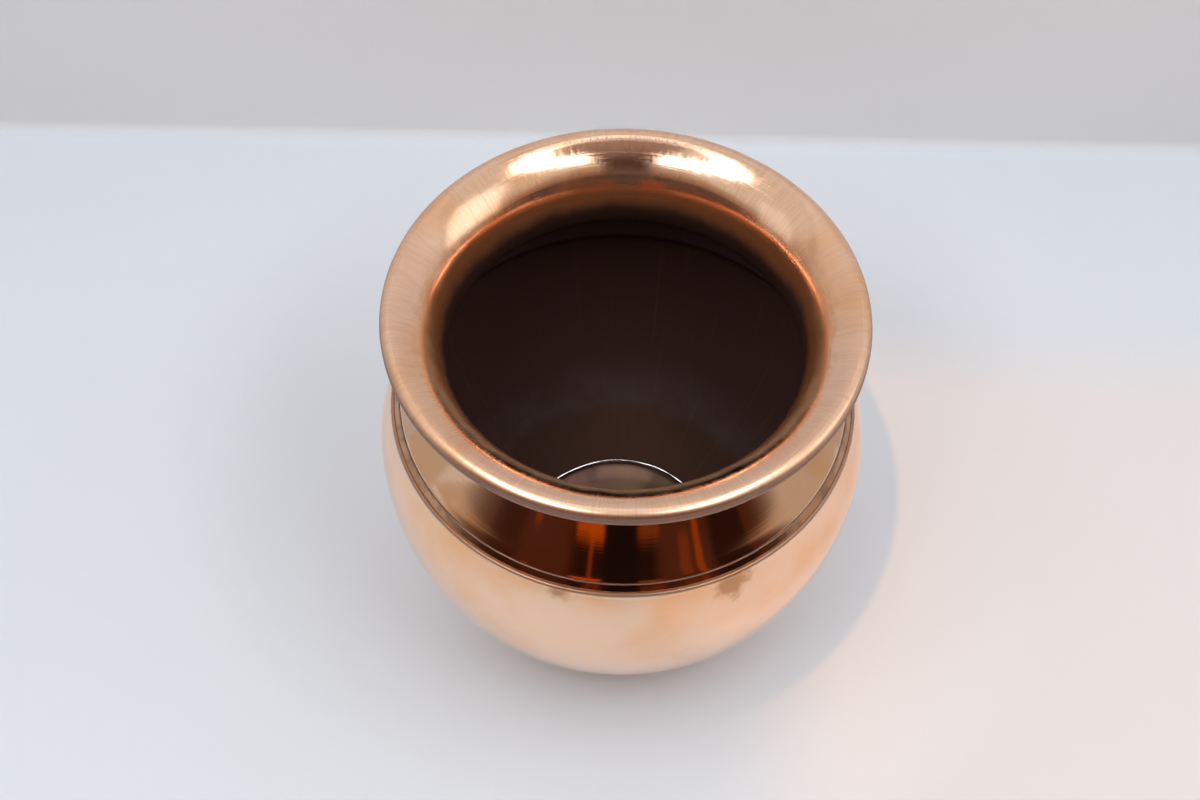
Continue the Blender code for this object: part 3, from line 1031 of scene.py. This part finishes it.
    def add_front(self, context, stage):
        """A dark card in front with warm strips low on it, which the neck and the flare reflect."""
        bm = bmesh.new()
        size = Matrix.Diagonal((self.CARD_HALF, self.CARD_HEIGHT / 2, 1.0, 1.0))
        up = Matrix.Rotation(math.pi / 2, 4, "X")
        place = Matrix.Translation((0.0, -self.CARD_DISTANCE, self.CARD_HEIGHT / 2))
        bmesh.ops.create_grid(bm, x_segments=1, y_segments=1, size=1.0, matrix=place @ up @ size)
        finish = Finish("front_card")
        spot = finish.place()
        x, _, z = finish.parts(spot)
        sway = (finish.noise(spot, scale=14.0, detail=3.0) - 0.5) * self.CARD_SWAY
        across = x + sway
        level = z + sway
        glow = stage.card
        for bands, paint in ((self.SHADES, stage.shade), (self.STRIPS, stage.strip)):
            for centre, half, share, low, high in bands:
                tall = finish.fade(level, low, self.BAND_FOOT) * finish.fade(level, high, self.BAND_TOP)
                glow = finish.mix(self.band(finish, across, centre, half) * tall * share, glow, paint)
        glow = finish.mix(finish.rise(z, *self.CARD_HAZE), glow, stage.haze)
        glow = finish.mix(finish.rise(z, *self.CARD_TOP), glow, stage.room_low)
        stripe = self.band(finish, x, *self.GAP_STRIPE) * finish.rise(z, *self.CARD_HAZE)
        glow = finish.mix(stripe, glow, stage.gap)
        aside = finish.node("ShaderNodeMath", {"operation": "ABSOLUTE"}, {0: x - self.CARD_MIDDLE})
        finish.set(Emission_Color=finish.mix(finish.rise(aside, *self.CARD_FADE), glow, stage.room_low))
        self.add_glow(context, "front_card", bm, finish)

    def band(self, finish, value, centre, half):
        """One inside a band and zero outside it."""
        distance = finish.node("ShaderNodeMath", {"operation": "ABSOLUTE"}, {0: value - centre})
        return finish.rise(distance, *(half * share for share in self.BAND_SOFT))

    def add_sides(self, context):
        """Soft cards on both sides, a little brighter than the room."""
        stand = Matrix.Rotation(math.pi / 2, 4, "Z") @ Matrix.Rotation(math.pi / 2, 4, "X")
        for side, middle, half, level in self.SIDES:
            bm = bmesh.new()
            size = Matrix.Diagonal((half[0] * self.CARD_MARGIN, half[1] * self.CARD_MARGIN, 1.0, 1.0))
            place = Matrix.Translation((side, *middle))
            bmesh.ops.create_grid(bm, x_segments=1, y_segments=1, size=1.0, matrix=place @ stand @ size)
            finish = Finish("side_card")
            _, y, z = finish.parts(finish.place())
            inner = self.band(finish, y, middle[0], half[0]) * self.band(finish, z, middle[1], half[1])
            finish.set(Alpha=inner, Emission_Color=(level, level, level, 1.0))
            self.add_glow(context, "side_card", bm, finish)

    def add_gap(self, context, stage):
        """A dim level card in the gap of the ring light."""
        bm = bmesh.new()
        size = Matrix.Diagonal((*self.GAP_HALF, 1.0, 1.0))
        place = Matrix.Translation(self.GAP_PLACE)
        bmesh.ops.create_grid(bm, x_segments=1, y_segments=1, size=1.0, matrix=place @ size)
        finish = Finish("gap_card")
        depth = finish.parts(finish.place())[1]
        finish.set(Emission_Color=finish.mix(finish.rise(depth, *self.GAP_FADE), stage.gap, stage.gap_far))
        self.add_glow(context, "gap_card", bm, finish)

    def add_ring(self, context, stage):
        """A flat oval ring light overhead, wider at the front and open there, and dimmer at the back."""
        bm = bmesh.new()
        start = Vector((math.cos(self.RING_START), math.sin(self.RING_START), 0.0))
        edge = bm.edges.new([bm.verts.new(start * size) for size in (1, 2)])
        bmesh.ops.spin(
            bm,
            geom=[edge, *edge.verts],
            cent=CENTRE,
            axis=AXIS,
            angle=self.RING_SWEEP,
            steps=self.RING_STEPS,
        )
        loops = [[vert for vert in bm.verts if round(vert.co.length) == size] for size in (1, 2)]
        for loop, size, (centre, half) in zip(loops, (1, 2), (self.RING_INNER, self.RING_OUTER)):
            place = Matrix.Translation((*centre, self.RING_HEIGHT))
            oval = Matrix.Diagonal((half[0] / size, half[1] / size, 1.0, 1.0))
            bmesh.ops.transform(bm, matrix=place @ oval, space=Matrix.Identity(4), verts=loop)
        finish = Finish("ring_light")
        x, y, _ = finish.parts(finish.place())
        aside = finish.node("ShaderNodeMath", {"operation": "ABSOLUTE"}, {0: x})
        back = finish.rise(y, *self.RING_BACK) * finish.rise(aside, *self.RING_MIDDLE)
        dim = (self.RING_DIM, self.RING_DIM, self.RING_DIM)
        finish.set(Emission_Color=finish.mix(back, (1.0, 1.0, 1.0), dim))
        self.add_glow(context, "ring_light", bm, finish, stage.ring_level)

    def add_room(self, context, stage):
        """Even light from all round, lower near the horizon."""
        world = bpy.data.worlds.new("room")
        world.use_nodes = True
        sky = Recipe(world.node_tree)
        height = sky.parts(sky.node("ShaderNodeTexCoord", output="Generated"))[2]
        light = sky.mix(sky.rise(height, *self.ROOM_RISE), stage.room_low, stage.room)
        sky.feed(sky.tree.nodes["Background"].inputs["Color"], light)
        context.scene.world = world

    def add_camera(self, context):
        data = bpy.data.cameras.new("camera")
        data.lens = self.LENS
        data.sensor_width = self.SENSOR
        data.sensor_fit = "HORIZONTAL"
        data.clip_start = self.CLIP_START
        camera = bpy.data.objects.new("camera", data)
        turn = Matrix((self.CAMERA_RIGHT, self.CAMERA_UP, self.CAMERA_BACK)).transposed()
        camera.matrix_world = Matrix.Translation(self.CAMERA_PLACE) @ turn.to_4x4()
        context.scene.collection.objects.link(camera)
        context.scene.camera = camera


class LOTA_PT_pieces(bpy.types.Panel):
    """Lists the pot's pieces, sizes and colours"""

    bl_idname = "LOTA_PT_pieces"
    bl_label = "Lota"
    bl_space_type = "VIEW_3D"
    bl_region_type = "UI"
    bl_category = "Lota"

    def draw(self, context):
        layout = self.layout
        for operator in OPERATORS:
            layout.operator(operator.bl_idname)
        for group in (context.scene.lota_sizes, context.scene.lota_finishes, context.scene.lota_stage):
            box = layout.box()
            for key in group.__annotations__:
                box.prop(group, key)


GROUPS = {"lota_sizes": LotaSizes, "lota_finishes": LotaFinishes, "lota_stage": LotaStage}
OPERATORS = (
    LOTA_OT_neck_collar,
    LOTA_OT_rim_wire,
    LOTA_OT_bowl,
    LOTA_OT_shoulder_braze,
    LOTA_OT_base_disc,
    LOTA_OT_base_solder,
    LOTA_OT_stage,
)
CLASSES = (*GROUPS.values(), *OPERATORS, LOTA_PT_pieces)


def register():
    for made in CLASSES:
        bpy.utils.register_class(made)
    for name, group in GROUPS.items():
        setattr(bpy.types.Scene, name, PointerProperty(type=group))


def unregister():
    for name in GROUPS:
        delattr(bpy.types.Scene, name)
    for made in reversed(CLASSES):
        bpy.utils.unregister_class(made)


def main():
    register()
    bpy.ops.lota.neck_collar()
    bpy.ops.lota.rim_wire()
    bpy.ops.lota.bowl()
    bpy.ops.lota.shoulder_braze()
    bpy.ops.lota.base_disc()
    bpy.ops.lota.base_solder()
    bpy.ops.lota.stage()


if __name__ == "__main__":
    main()
